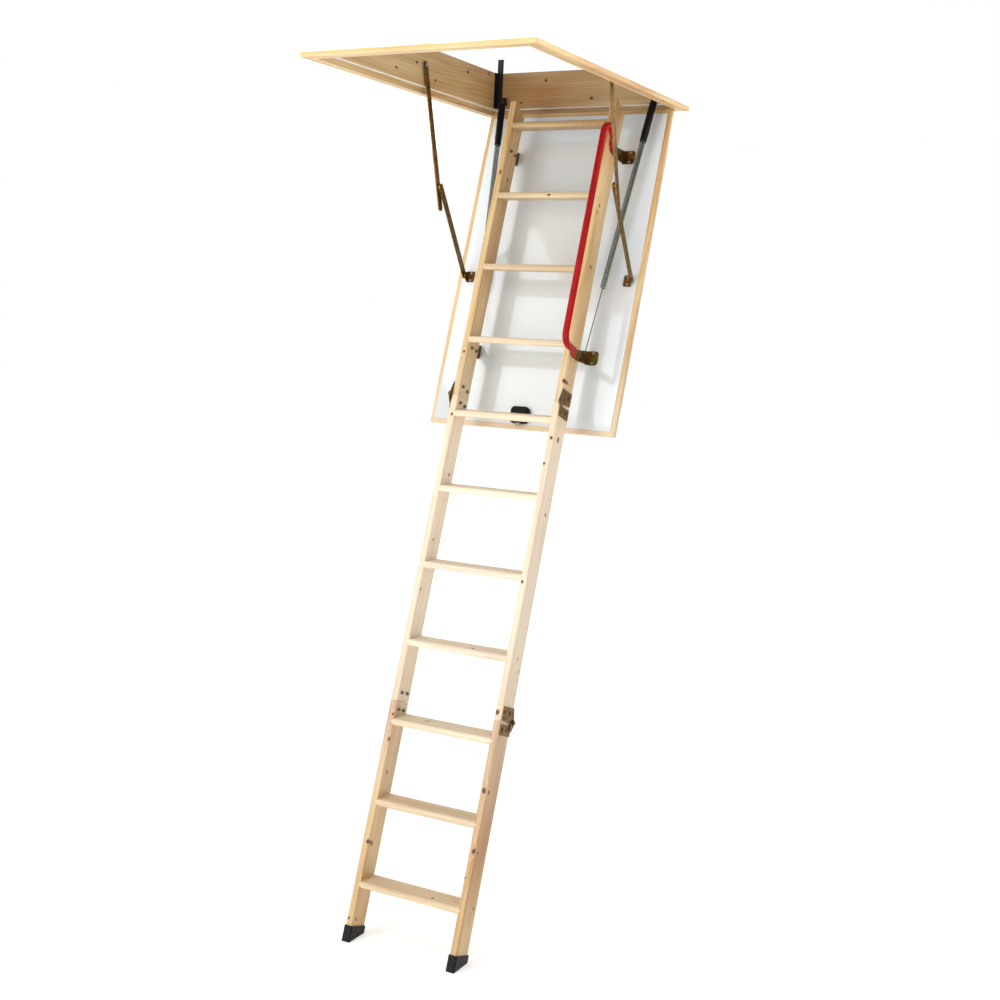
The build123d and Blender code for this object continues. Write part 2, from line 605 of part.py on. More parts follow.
def spring():
    """Tension spring: hooked wire, a long coil of whole turns, long tail wire."""
    frame, length = spring_frame()
    start, stop = (value - SPRING_TOP[1] for value in COIL_SPAN)
    coil_path = Helix(pitch=COIL_PITCH, height=stop - start, radius=COIL_RADIUS)
    profile = Plane(origin=coil_path @ 0, z_dir=coil_path % 0) * Circle(WIRE_RADIUS)
    coil = Pos(0, 0, start) * sweep(profile, path=coil_path, is_frenet=True)
    for end in (start, stop):
        coil += rod(WIRE_RADIUS + 0.2, -2, COIL_RADIUS + 1.2, 0, end)
    body = coil + pole(WIRE_RADIUS, 0, 0, 0, start)
    body += pole(WIRE_RADIUS, 0, 0, stop, length)
    body = frame.location * body
    (x0, a0, n0), (x1, a1, n1) = SPRING_TOP, SPRING_LOW
    body += rod(HOOK_RADIUS, x0 - WIRE_RADIUS, x0 + 7, -a0, n0)
    return body + rod(HOOK_RADIUS, x1 - 11, x1 + WIRE_RADIUS, -a1, n1)


def spring_cap():
    """Plastic sleeve over the spring's upper end."""
    frame, _ = spring_frame()
    start, stop = CAP_SPAN
    outer = pole(CAP_RADIUS, 0, 0, start, stop)
    outer = fillet(outer.edges(), 2)
    coil_room = COIL_SPAN[0] - SPRING_TOP[1] - 12
    bore = pole(COIL_RADIUS + WIRE_RADIUS + 0.5, 0, 0, coil_room, stop + 18)
    return frame.location * (outer - bore - pole(WIRE_RADIUS + 0.5, 0, 0, 0, coil_room + 2))


def make_springs():
    save_pair("spring", OPEN * spring())
    save("spring_caps", group(OPEN * cap for cap in both(spring_cap())))


os.makedirs("parts", exist_ok=True)
make_frame()
make_hatch()
make_sections()
make_stays()
make_springs()
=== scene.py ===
import json
import math

import bpy
from mathutils import Matrix, Vector


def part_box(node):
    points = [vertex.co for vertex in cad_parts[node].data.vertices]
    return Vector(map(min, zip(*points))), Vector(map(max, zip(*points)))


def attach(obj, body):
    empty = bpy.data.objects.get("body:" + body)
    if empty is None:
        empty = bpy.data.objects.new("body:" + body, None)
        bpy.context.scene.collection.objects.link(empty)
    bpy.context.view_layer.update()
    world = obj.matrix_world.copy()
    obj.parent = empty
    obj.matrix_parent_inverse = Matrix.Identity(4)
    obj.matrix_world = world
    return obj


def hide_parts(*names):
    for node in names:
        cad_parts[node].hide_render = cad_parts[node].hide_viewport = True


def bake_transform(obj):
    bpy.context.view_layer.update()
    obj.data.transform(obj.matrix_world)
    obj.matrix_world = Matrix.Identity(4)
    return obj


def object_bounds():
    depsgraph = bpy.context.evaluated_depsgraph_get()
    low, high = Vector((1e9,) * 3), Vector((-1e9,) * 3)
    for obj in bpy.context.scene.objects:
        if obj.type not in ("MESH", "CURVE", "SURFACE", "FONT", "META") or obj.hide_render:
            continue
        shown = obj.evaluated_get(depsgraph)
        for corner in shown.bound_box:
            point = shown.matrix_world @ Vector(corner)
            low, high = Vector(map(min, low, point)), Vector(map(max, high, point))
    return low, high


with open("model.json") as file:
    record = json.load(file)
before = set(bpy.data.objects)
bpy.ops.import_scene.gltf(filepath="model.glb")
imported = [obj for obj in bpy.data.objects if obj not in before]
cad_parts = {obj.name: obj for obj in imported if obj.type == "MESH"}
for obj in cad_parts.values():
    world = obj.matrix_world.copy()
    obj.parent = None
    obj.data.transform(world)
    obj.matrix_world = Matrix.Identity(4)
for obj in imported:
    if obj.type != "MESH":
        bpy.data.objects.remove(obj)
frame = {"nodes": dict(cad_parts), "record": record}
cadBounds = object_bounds()
nodes = frame["nodes"]
print("frame loaded:", len(nodes), "nodes")

# the hatch and the ladder lean together from the hatch's hinge line
lean = math.radians(72)
hingeLine = Vector((0, 0.585, -0.005))


def flatPoint(x, along, above):
    # a point given on the open hatch: across, down from the hinge, out towards the climber
    y = hingeLine.y - along * math.cos(lean) - above * math.sin(lean)
    z = hingeLine.z - along * math.sin(lean) + above * math.cos(lean)
    return Vector((x, y, z))


def paint(hexColour):
    # screen colour to linear light
    parts = [int(hexColour[i:i + 2], 16) / 255 for i in (1, 3, 5)]
    return tuple(p / 12.92 if p <= 0.04045 else ((p + 0.055) / 1.055) ** 2.4 for p in parts) + (1,)


# camera and studio

cameraSettings = {
    "place": (2.119673, -4.222963, -0.763756),
    "yaw": 0.513, "pitch": -0.111, "roll": 0.045,
    "lens": 51.78, "sensor": 36, "shift": (0.0791, -0.0168), "reach": 100,
}


def makeCamera(s):
    yaw, pitch, roll = s["yaw"], s["pitch"], s["roll"]
    right = Vector((math.cos(yaw), math.sin(yaw), 0))
    ahead = Vector((-math.sin(yaw), math.cos(yaw), 0))
    up = Vector((0, 0, 1))
    view = ahead * math.cos(pitch) + up * math.sin(pitch)
    lift = up * math.cos(pitch) - ahead * math.sin(pitch)
    side = right * math.cos(roll) + lift * math.sin(roll)
    top = lift * math.cos(roll) - right * math.sin(roll)
    data = bpy.data.cameras.new("studioCamera")
    data.lens, data.sensor_width = s["lens"], s["sensor"]
    data.shift_x, data.shift_y = s["shift"]
    data.clip_end = s["reach"]
    camera = bpy.data.objects.new("studioCamera", data)
    turn = Matrix((side, top, -view)).transposed().to_4x4()
    camera.matrix_world = Matrix.Translation(s["place"]) @ turn
    bpy.context.scene.collection.objects.link(camera)
    bpy.context.scene.camera = camera


makeCamera(cameraSettings)

studioSettings = {
    "key": {"place": (-2.2, -4.8, -0.7), "aim": (0, 0, -1.6), "size": 2.6, "power": 112},
    "fill": {"place": (4.5, -2.0, -0.6), "aim": (0, 0, -1.2), "size": 3.0, "power": 14},
    "low": {"place": (0.6, -3.4, -2.6), "aim": (0, -0.2, 0), "size": 2.2, "power": 14},
    "sky": 0.42,
}


def softBox(name, s):
    data = bpy.data.lights.new(name, "AREA")
    data.shape, data.size, data.energy = "SQUARE", s["size"], s["power"]
    lamp = bpy.data.objects.new(name, data)
    lamp.location = s["place"]
    towards = Vector(s["aim"]) - Vector(s["place"])
    lamp.rotation_euler = towards.to_track_quat("-Z", "Y").to_euler()
    bpy.context.scene.collection.objects.link(lamp)


def makeStudio(s):
    for name in ("key", "fill", "low"):
        softBox(name + "Light", s[name])
    world = bpy.data.worlds.new("studio")
    bpy.context.scene.world = world
    world.use_nodes = True
    tree = world.node_tree
    sky = tree.nodes["Background"]
    sky.inputs["Color"].default_value = (1, 1, 1, 1)
    sky.inputs["Strength"].default_value = s["sky"]
    # a white wall behind, brighter than the light it gives
    kinds = ("Background", "MixShader", "LightPath")
    wall, both, rays = (tree.nodes.new("ShaderNode" + kind) for kind in kinds)
    wall.inputs["Color"].default_value = (1, 1, 1, 1)
    tree.links.new(rays.outputs["Is Camera Ray"], both.inputs[0])
    tree.links.new(sky.outputs[0], both.inputs[1])
    tree.links.new(wall.outputs[0], both.inputs[2])
    tree.links.new(both.outputs[0], tree.nodes["World Output"].inputs["Surface"])
    bpy.context.scene.view_settings.view_transform = "Standard"


makeStudio(studioSettings)
print("camera and studio set")


class Recipe:
    # a small bench for putting a material's nodes together

    def __init__(self, name):
        self.material = bpy.data.materials.new(name)
        self.material.use_nodes = True
        self.tree = self.material.node_tree
        self.shader = self.tree.nodes["Principled BSDF"]
        self.place = self.node("ShaderNodeTexCoord").outputs["Object"]

    def node(self, kind, **settings):
        made = self.tree.nodes.new(kind)
        for key, value in settings.items():
            setattr(made, key, value)
        return made

    def feed(self, socket, value):
        if isinstance(value, bpy.types.NodeSocket):
            self.tree.links.new(value, socket)
        else:
            socket.default_value = value

    def mapped(self, source, location=(0, 0, 0), rotation=(0, 0, 0), scale=(1, 1, 1), kind="POINT"):
        m = self.node("ShaderNodeMapping", vector_type=kind)
        self.feed(m.inputs["Vector"], source)
        m.inputs["Location"].default_value = location
        m.inputs["Rotation"].default_value = rotation
        m.inputs["Scale"].default_value = scale
        return m.outputs["Vector"]

    def noise(self, source, scale, detail=3.0, rough=0.55, distortion=0.0):
        n = self.node("ShaderNodeTexNoise")
        self.feed(n.inputs["Vector"], source)
        n.inputs["Scale"].default_value = scale
        n.inputs["Detail"].default_value = detail
        n.inputs["Roughness"].default_value = rough
        n.inputs["Distortion"].default_value = distortion
        return n

    def math(self, operation, a, b=0.5):
        m = self.node("ShaderNodeMath", operation=operation)
        self.feed(m.inputs[0], a)
        self.feed(m.inputs[1], b)
        return m.outputs[0]

    def vector(self, operation, a, b=(0, 0, 0)):
        m = self.node("ShaderNodeVectorMath", operation=operation)
        self.feed(m.inputs[0], a)
        self.feed(m.inputs[1], b)
        return m.outputs["Value" if operation == "LENGTH" else "Vector"]

    def span(self, source, low, high, toLow, toHigh, smooth=False):
        m = self.node("ShaderNodeMapRange", interpolation_type="SMOOTHSTEP" if smooth else "LINEAR")
        self.feed(m.inputs["Value"], source)
        for key, value in (("From Min", low), ("From Max", high), ("To Min", toLow), ("To Max", toHigh)):
            m.inputs[key].default_value = value
        return m.outputs["Result"]

    def ramp(self, source, stops):
        r = self.node("ShaderNodeValToRGB")
        self.feed(r.inputs["Fac"], source)
        while len(r.color_ramp.elements) < len(stops):
            r.color_ramp.elements.new(0.5)
        for element, (at, colour) in zip(r.color_ramp.elements, stops):
            element.position, element.color = at, colour
        return r.outputs["Color"]

    def blend(self, factor, first, second, how="MIX"):
        m = self.node("ShaderNodeMix", data_type="RGBA", blend_type=how)
        self.feed(m.inputs[0], factor)
        self.feed(m.inputs[6], first)
        self.feed(m.inputs[7], second)
        return m.outputs[2]

    def pick(self, factor, first, second):
        m = self.node("ShaderNodeMix", data_type="VECTOR")
        self.feed(m.inputs[0], factor)
        self.feed(m.inputs[4], first)
        self.feed(m.inputs[5], second)
        return m.outputs[1]

    def bump(self, height, strength, distance):
        b = self.node("ShaderNodeBump")
        b.inputs["Strength"].default_value = strength
        b.inputs["Distance"].default_value = distance
        self.feed(b.inputs["Height"], height)
        return b.outputs["Normal"]

    def finish(self, **inputs):
        for key, value in inputs.items():
            self.feed(self.shader.inputs[key.replace("_", " ")], value)
        return self.material


pineSettings = {
    "early": "#E8CF9C", "late": "#B5823C", "heart": "#D89F58", "knot": "#55290F", "knotRim": "#A8692E",
    "sapwoodAndLitPool": "#F6F0E4",
    "ringScale": 42, "fibre": 240, "roughness": 0.44,
    "wander": 0.05,             # how far the grain strays, metres
    "pinSpread": (13, 6, 13),   # pin knots to the metre, across, along and through
    # the painted pool of light's upper and lower edges, their fades and its strength
    "litPoolTop": -0.75, "litPoolTopFade": 0.45, "litPoolLow": -2.45, "litPoolLowFade": 0.7, "litPoolMost": 0.42,
    "mitre": 0.235,             # half the casing's length less half its width
}


def pine(name, grain, shift, tone=1.0, warm=0.35, pale=0.0, knots=()):
    # grain: which way the board runs; shift: moves the log's heart so that no two boards match
    s = pineSettings
    r = Recipe(name)
    if grain == "hatch":
        local = r.mapped(r.place, hingeLine, (lean, 0, 0), kind="TEXTURE")
    elif grain == "across":
        local = r.mapped(r.place, rotation=(0, 0, math.radians(90)), kind="TEXTURE")
    elif grain == "mitred":
        split = r.node("ShaderNodeSeparateXYZ")
        r.feed(split.inputs[0], r.place)
        reachX = r.math("ABSOLUTE", split.outputs[0])
        reachY = r.math("SUBTRACT", r.math("ABSOLUTE", split.outputs[1]), s["mitre"])
        turned = r.mapped(r.place, rotation=(0, 0, math.radians(90)), kind="TEXTURE")
        local = r.pick(r.math("GREATER_THAN", reachX, reachY), turned, r.place)
    else:
        local = r.place
    # slow wander of the grain, then rings round an off-centre heart
    moved = r.mapped(local, location=shift)
    slow = r.noise(r.mapped(moved, scale=(5, 0.9, 5)), 1.0, 2.0).outputs["Color"]
    wander = r.vector("MULTIPLY", r.vector("SUBTRACT", slow, (0.5, 0.5, 0.5)),
                      (s["wander"], 0, s["wander"]))
    bent = r.vector("ADD", moved, wander)
    # pin knots anywhere, and the larger knots that a board has where its settings say
    pins = r.node("ShaderNodeTexVoronoi")
    r.feed(pins.inputs["Vector"], r.mapped(moved, scale=s["pinSpread"]))
    pins.inputs["Scale"].default_value = 1.0
    knotMask = r.span(pins.outputs["Distance"], 0.03, 0.075, 0.9, 0, True)
    # a knot: its place, its radius, and the face that it shows on ("x" the side, "n" the front)
    for x, along, above, radius, axis in knots:
        centre = {"hatch": (x, -along, above), "across": (along, -x, above)}.get(grain, (x, along, above))
        squeeze = {"x": (0.15, 0.8, 1), "n": (1, 0.8, 0.15)}.get(axis, (1, 0.8, 1))
        offset = r.vector("MULTIPLY", r.vector("SUBTRACT", local, centre), squeeze)
        uneven = r.noise(local, 130, 1.0).outputs["Fac"]
        reach = r.math("ADD", r.vector("LENGTH", offset), r.span(uneven, 0, 1, -radius * 0.35, radius * 0.35))
        swell = r.span(reach, radius * 0.6, radius * 4.0, radius * 1.6, 0, True)
        push = r.node("ShaderNodeCombineXYZ")
        r.feed(push.inputs[0], swell)
        r.feed(push.inputs[2], swell)
        bent = r.vector("ADD", bent, push.outputs[0])
        mask = r.span(reach, radius * 0.55, radius * 1.25, 1, 0, True)
        knotMask = r.math("MAXIMUM", knotMask, mask)
    rings = r.node("ShaderNodeTexWave", wave_type="RINGS", rings_direction="Y", wave_profile="SAW")
    r.feed(rings.inputs["Vector"], bent)
    rings.inputs["Scale"].default_value = s["ringScale"]
    rings.inputs["Distortion"].default_value = 1.2
    rings.inputs["Detail"].default_value = 2.0
    rings.inputs["Detail Scale"].default_value = 1.5
    ring = rings.outputs["Fac"]
    fibre = r.noise(r.mapped(moved, scale=(1, 0.03, 1)), s["fibre"], 4.0, 0.65).outputs["Fac"]
    streak = r.noise(r.mapped(moved, scale=(1, 0.05, 1)), 45, 3.0).outputs["Fac"]
    patch = r.noise(r.mapped(moved, scale=(1, 0.35, 1)), 4.5, 2.0).outputs["Fac"]
    early, late, heart = (paint(s[key]) for key in ("early", "late", "heart"))
    sapwoodAndLitPool = paint(s["sapwoodAndLitPool"])
    early, late = (tuple(c + (w - c) * pale for c, w in zip(colour, sapwoodAndLitPool)) for colour in (early, late))
    # painted pool of light: the colour is blended towards the pale tone in the middle of the ladder's length,
    # and the ends keep the yellower wood
    ends = r.node("ShaderNodeSeparateXYZ")
    r.feed(ends.inputs[0], r.place)
    upper = r.span(ends.outputs[2], s["litPoolTop"] - s["litPoolTopFade"], s["litPoolTop"], 1, 0)
    lower = r.span(ends.outputs[2], s["litPoolLow"], s["litPoolLow"] + s["litPoolLowFade"], 0, 1)
    litPoolMask = r.math("MULTIPLY", r.math("MULTIPLY", upper, lower), s["litPoolMost"])
    wood = r.ramp(ring, [(0.0, early), (0.55, early), (0.93, late), (1.0, early)])
    wood = r.blend(r.span(patch, 0.38, 0.62, 0.25, 0.95), early, wood)
    softened = r.blend(0.45, wood, r.ramp(streak, [(0.35, early), (0.66, late)]))
    toned = r.blend(r.span(patch, 0.35, 0.8, 0.0, warm), softened, heart, "MULTIPLY")
    pored = r.blend(r.span(fibre, 0.5, 0.8, 0.0, 0.22), toned, late, "MULTIPLY")
    # painted pool of light: the middle of the ladder's height is blended towards the pale tone
    pored = r.blend(litPoolMask, pored, sapwoodAndLitPool)
    # the tone multiplies the colour; a tone below one on the upper treads and the hinge-end board is painted
    # shade
    level = (tone, tone * (0.985 if tone < 1 else 1), tone * (0.95 if tone < 1 else 1), 1)
    colour = r.blend(1.0, pored, level, "MULTIPLY")
    height = r.math("ADD", r.math("MULTIPLY", ring, 0.35), r.math("MULTIPLY", fibre, 0.65))
    inner = r.ramp(knotMask, [(0.15, paint(s["late"])), (0.5, paint(s["knotRim"])), (1.0, paint(s["knot"]))])
    colour = r.blend(r.span(knotMask, 0.0, 0.35, 0, 1), colour, inner)
    height = r.math("ADD", height, r.math("MULTIPLY", knotMask, 0.8))
    if grain == "mitred":
        seam = r.span(r.math("ABSOLUTE", r.math("SUBTRACT", reachX, reachY)), 0.0003, 0.0009, 0.85, 0)
        colour = r.blend(seam, colour, paint("#5A3A1E"))
    rough = r.span(r.math("ADD", fibre, r.math("MULTIPLY", patch, 0.5)), 0.4, 1.2,
                   s["roughness"] - 0.09, s["roughness"] + 0.12)
    return r.finish(Base_Color=colour, Roughness=rough, Normal=r.bump(height, 0.22, 0.0012),
                    Coat_Weight=0.12, Coat_Roughness=0.35)


boardSettings = {"face": "#DCE0E1", "cool": "#D2D9DC", "roughness": 0.1}


def coatedBoard(name):
    s = boardSettings
    r = Recipe(name)
    cloud = r.noise(r.place, 3.0, 3.0).outputs["Fac"]
    peel = r.noise(r.place, 420, 2.0).outputs["Fac"]
    dust = r.noise(r.place, 60, 6.0, 0.7).outputs["Fac"]
    scuff = r.noise(r.mapped(r.place, rotation=(0.4, 0.3, 0.9), scale=(1, 0.06, 1)), 90, 2.0).outputs["Fac"]
    colour = r.blend(r.span(cloud, 0.3, 0.7, 0, 1), paint(s["face"]), paint(s["cool"]))
    colour = r.blend(r.span(dust, 0.62, 0.8, 0, 0.12), colour, paint("#C9C6BC"))
    rough = r.math("ADD", r.span(dust, 0.3, 0.8, s["roughness"] - 0.04, s["roughness"] + 0.1),
                   r.span(scuff, 0.66, 0.8, 0, 0.12))
    return r.finish(Base_Color=colour, Roughness=rough, Normal=r.bump(peel, 0.08, 0.0004),
                    Coat_Weight=1.0, Coat_Roughness=0.05, Coat_IOR=1.8)


def metal(name, light, dark, metallic, roughness, scale=40, third=None, peel=300, strength=0.1, coat=0.0):
    r = Recipe(name)
    cloud = r.noise(r.place, scale, 4.0, 0.6, 0.4).outputs["Fac"]
    grain = r.noise(r.place, peel, 3.0, 0.6).outputs["Fac"]
    stain = r.noise(r.mapped(r.place, location=(3, 1, 2)), scale * 0.5, 5.0, 0.65, 1.2).outputs["Fac"]
    colour = r.blend(r.span(cloud, 0.35, 0.65, 0, 1), paint(light), paint(dark))
    if third:
        colour = r.blend(r.span(stain, 0.5, 0.68, 0, 0.8), colour, paint(third))
    rough = r.math("ADD", r.span(grain, 0.3, 0.7, roughness - 0.05, roughness + 0.07),
                   r.span(stain, 0.45, 0.75, 0, 0.12))
    return r.finish(Base_Color=colour, Metallic=metallic, Roughness=rough,
                    Normal=r.bump(grain, strength, 0.0006), Coat_Weight=coat, Coat_Roughness=0.15)


def plastic(name, light, dark, roughness, grainScale=700, strength=0.25):
    r = Recipe(name)
    cloud = r.noise(r.place, 25, 3.0).outputs["Fac"]
    grain = r.node("ShaderNodeTexVoronoi")
    r.feed(grain.inputs["Vector"], r.place)
    grain.inputs["Scale"].default_value = grainScale
    scuff = r.noise(r.place, 120, 5.0, 0.7).outputs["Fac"]
    colour = r.blend(r.span(scuff, 0.58, 0.75, 0, 0.6), paint(dark), paint(light))
    rough = r.span(cloud, 0.3, 0.7, roughness - 0.06, roughness + 0.1)
    return r.finish(Base_Color=colour, Roughness=rough,
                    Normal=r.bump(grain.outputs["Distance"], strength, 0.0005))


def foam(name, light, dark):
    r = Recipe(name)
    cells = r.node("ShaderNodeTexVoronoi")
    r.feed(cells.inputs["Vector"], r.place)
    cells.inputs["Scale"].default_value = 900
    cloud = r.noise(r.place, 30, 3.0).outputs["Fac"]
    colour = r.blend(r.span(cloud, 0.35, 0.7, 0, 1), paint(light), paint(dark))
    return r.finish(Base_Color=colour, Roughness=r.span(cloud, 0.3, 0.7, 0.8, 0.95),
                    Normal=r.bump(cells.outputs["Distance"], 0.4, 0.0006))


def dress(material, *names):
    for name in names:
        data = nodes[name].data
        if not data.materials:
            data.materials.append(material)
        for i in range(len(data.materials)):
            data.materials[i] = material


# how each board runs, how its log sat, its tone, warmth and paleness, and its knots
woodSettings = {
    "frame_side_left": ("along", (0.05, 0.3, 0.11), 0.95, 0.6, 0.0, (
        (-0.335, -0.33, 0.092, 0.006, "x"), (-0.335, 0.11, 0.05, 0.005, "x"),
        (-0.335, 0.34, 0.118, 0.006, "x"))),
    "frame_side_right": ("along", (-0.21, 1.1, 0.07), 0.95, 0.6, 0.0, (
        (0.335, -0.2, 0.07, 0.006, "x"), (0.335, 0.25, 0.1, 0.005, "x"))),
    "frame_end_front": ("across", (0.33, 0.7, 0.09), 0.93, 0.6, 0.0, ((0.1, -0.57, 0.08, 0.006, "x"),)),
    # painted shade: the hinge-end board's low tone darkens it for the shaded inside of the casing at that end
    "frame_end_hinge": ("across", (-0.63, 0.4, 0.04), 0.68, 1.0, 0.0, (
        (-0.14, 0.57, 0.118, 0.006, "x"), (0.04, 0.57, 0.05, 0.007, "x"), (0.2, 0.57, 0.09, 0.005, "x"))),
    "frame_trim": ("mitred", (0.4, 0.2, 0.13), 0.9, 0.6, 0.0, ()),
    "hatch_rail_left": ("hatch", (0.27, 0.5, 0.06), 0.92, 0.5, 0.0, ()),
    "hatch_rail_right": ("hatch", (-0.38, 0.9, 0.07), 0.92, 0.5, 0.0, ()),
    "hatch_rail_top": ("across", (0.5, 0.1, 0.22), 0.92, 0.5, 0.0, ()),
    "hatch_rail_bottom": ("across", (0.12, 0.8, 0.5), 0.95, 0.5, 0.1, ()),
    "stile_1_left": ("hatch", (0.16, 0.2, -0.05), 0.9, 0.75, 0.0, (
        (-0.188, 0.947, 0.168, 0.0045, "n"), (-0.178, 0.3, 0.12, 0.006, "x"))),
    "stile_1_right": ("hatch", (-0.24, 0.6, -0.06), 0.9, 0.75, 0.0, (
        (0.199, 1.029, 0.168, 0.006, "n"), (0.201, 0.62, 0.13, 0.007, "x"),
        (0.201, 0.41, 0.15, 0.005, "x"))),
    "stile_2_left": ("hatch", (0.22, 1.2, -0.03), 1.0, 0.3, 0.1, (
        (-0.187, 1.17, 0.168, 0.0045, "n"), (-0.178, 1.37, 0.12, 0.005, "x"),
        (-0.178, 1.6, 0.14, 0.004, "x"))),
    "stile_2_right": ("hatch", (-0.15, 2.0, -0.04), 1.0, 0.3, 0.1, (
        (0.193, 1.223, 0.168, 0.005, "n"), (0.184, 1.31, 0.168, 0.004, "n"),
        (0.201, 1.22, 0.13, 0.008, "x"),
        (0.186, 1.703, 0.168, 0.0045, "n"), (0.201, 1.47, 0.12, 0.005, "x"),
        (0.185, 2.123, 0.168, 0.007, "n"))),
    "stile_3_left": ("hatch", (0.14, 2.7, -0.08), 0.93, 0.85, 0.0, (
        (-0.183, 2.192, 0.168, 0.004, "n"), (-0.178, 2.38, 0.14, 0.005, "x"),
        (-0.182, 2.606, 0.168, 0.006, "n"),
        (-0.178, 2.612, 0.148, 0.006, "x"), (-0.195, 2.851, 0.168, 0.004, "n"),
        (-0.178, 2.851, 0.15, 0.005, "x"))),
    "stile_3_right": ("hatch", (-0.25, 3.1, -0.02), 0.93, 0.85, 0.0, (
        (0.19, 2.369, 0.168, 0.0075, "n"), (0.201, 2.372, 0.155, 0.006, "x"),
        (0.193, 2.556, 0.168, 0.007, "n"),
        (0.201, 2.56, 0.15, 0.005, "x"), (0.181, 2.64, 0.168, 0.0035, "n"),
        (0.201, 2.73, 0.11, 0.005, "x"))),
}
# painted shade: the upper four treads get a darker tone, each with its own warmth and paleness; the others
# keep the default
treadShadeTones = {1: (0.72, 0.7, 0.0), 2: (0.78, 0.4, 0.2), 3: (0.8, 0.35, 0.3), 4: (0.86, 0.3, 0.4)}
treadKnots = {2: (0.016, "front", 0.0045), 8: (0.05, "top", 0.005), 11: (0.076, "top", 0.0045)}
treadCount, treadShift, knotInset = 11, (0.37, 0.11, 0.27), 0.022
for i in range(1, treadCount + 1):
    name = "tread_%02d" % i
    low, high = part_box(name)
    tone, warm, pale = treadShadeTones.get(i, (1.0, 0.3, 0.25))
    knots = ()
    if i in treadKnots:
        across, face, radius = treadKnots[i]
        knots = ((across, low[1], (low[2] + high[2]) / 2, radius, "") if face == "front" else
                 (across, low[1] + knotInset, high[2], radius, "n"),)
    shift = (0.6 + treadShift[0] * i, treadShift[1] * i, treadShift[2] * i)
    woodSettings[name] = ("across", shift, tone, warm, pale, knots)

slotOf = {part["node"]: part["material_slot"] for part in frame["record"]["subparts"]}
for name, (grain, shift, tone, warm, pale, knots) in woodSettings.items():
    dress(pine(name + "_wood", grain, shift, tone, warm, pale, knots), name)

finishes = {
    "white_board": coatedBoard("whiteBoard"),
    "insulation": foam("packedFoam", "#F4F3EE", "#E9E7DF"),
    "seal_foam": foam("sealFoam", "#F2F2EE", "#E2E2DC"),
    "chromated_steel": metal("chromatedSteel", "#8A6428", "#4E3416", 0.8, 0.34, 55, "#5F6426"),
    "zinc_steel": metal("zincSteel", "#C9CBCB", "#A9ACAD", 1.0, 0.3, 120, "#8E9396"),
    "black_steel": metal("blackSteel", "#1D1E20", "#101113", 0.3, 0.42, 60, "#26231F"),
    "spring_steel": metal("springSteel", "#6E7A71", "#454E47", 0.85, 0.3, 90, "#363D36"),
    "red_tube": metal("redTube", "#A60509", "#930307", 0.0, 0.3, 12, None, 500, 0.06, 0.0),
    "black_plastic": plastic("blackPlastic", "#131211", "#060606", 0.4),
}
# paint and moulded plastic stay deep in colour at a glancing look
dullGloss = 0.18
for slot in ("red_tube", "black_plastic"):
    shader = finishes[slot].node_tree.nodes["Principled BSDF"]
    shader.inputs["Specular IOR Level"].default_value = dullGloss
for name, slot in slotOf.items():
    if slot in finishes:
        dress(finishes[slot], name)


boltSettings = {"brown": ("#8A6428", "#4E3A18"), "grey": ("#8F918C", "#6F726E"), "outside": (0.2, 0.2005)}


def boltFinish(name, s):
    # the outer heads are passivated with the plates, the nuts inside stay grey
    r = Recipe(name)
    split = r.node("ShaderNodeSeparateXYZ")
    r.feed(split.inputs[0], r.place)
    outside = r.span(r.math("ABSOLUTE", split.outputs[0]), *s["outside"], 0, 1)
    cloud = r.noise(r.place, 140, 4.0, 0.6).outputs["Fac"]
    grain = r.noise(r.place, 420, 3.0).outputs["Fac"]
    brown, grey = (r.blend(r.span(cloud, 0.35, 0.65, 0, 1), *(paint(c) for c in s[key]))
                   for key in ("brown", "grey"))
    return r.finish(Base_Color=r.blend(outside, grey, brown), Metallic=0.85,
                    Roughness=r.span(grain, 0.3, 0.7, 0.3, 0.44), Normal=r.bump(grain, 0.1, 0.0004))


dress(boltFinish("boltFinish", boltSettings),
      "section_1_bolts", "section_2_bolts", "section_3_bolts", "bracket_bolts")
print("materials on", len(slotOf), "nodes")


def bare(piece, name, material):
    piece.name = piece.data.name = name
    piece.data.materials.clear()
    piece.data.materials.append(material)
    return piece


def pickFaces(piece, wanted):
    # selects the faces for which wanted(centre, normal) is true, from edit mode
    bpy.ops.mesh.select_all(action="DESELECT")
    bpy.ops.object.mode_set(mode="OBJECT")
    for face in piece.data.polygons:
        face.select = wanted(face.center, face.normal)
    bpy.ops.object.mode_set(mode="EDIT")


def pickPoints(piece, wanted):
    bpy.ops.mesh.select_all(action="DESELECT")
    bpy.ops.object.mode_set(mode="OBJECT")
    for vertex in piece.data.vertices:
        vertex.select = wanted(vertex.co)
    bpy.ops.object.mode_set(mode="EDIT")


def tidyMesh():
    bpy.ops.mesh.select_all(action="SELECT")
    bpy.ops.mesh.remove_doubles(threshold=0.00001)
    bpy.ops.mesh.normals_make_consistent(inside=False)
    bpy.ops.object.mode_set(mode="OBJECT")


def settle(piece):
    bpy.ops.object.select_all(action="DESELECT")
    piece.select_set(True)
    bpy.context.view_layer.objects.active = piece
    bpy.ops.object.transform_apply(location=True, rotation=True, scale=True)


def copies(master, name, places):
    # the master is turned and moved to each place, each copy with its own mesh, and all are joined
    made = []
    for matrix in places:
        other = master.copy()
        other.data = master.data.copy()
        other.data.transform(matrix)
        bpy.context.scene.collection.objects.link(other)
        made.append(other)
    bpy.ops.object.select_all(action="DESELECT")
    for other in made:
        other.select_set(True)
    bpy.context.view_layer.objects.active = made[0]
    if len(made) > 1:
        bpy.ops.object.join()
    made[0].name = made[0].data.name = name
    return made[0]


def discard(piece):
    bpy.data.objects.remove(piece, do_unlink=True)


sealSettings = {"width": 0.009, "round": 0.0012, "segments": 3, "profile": 0.6}


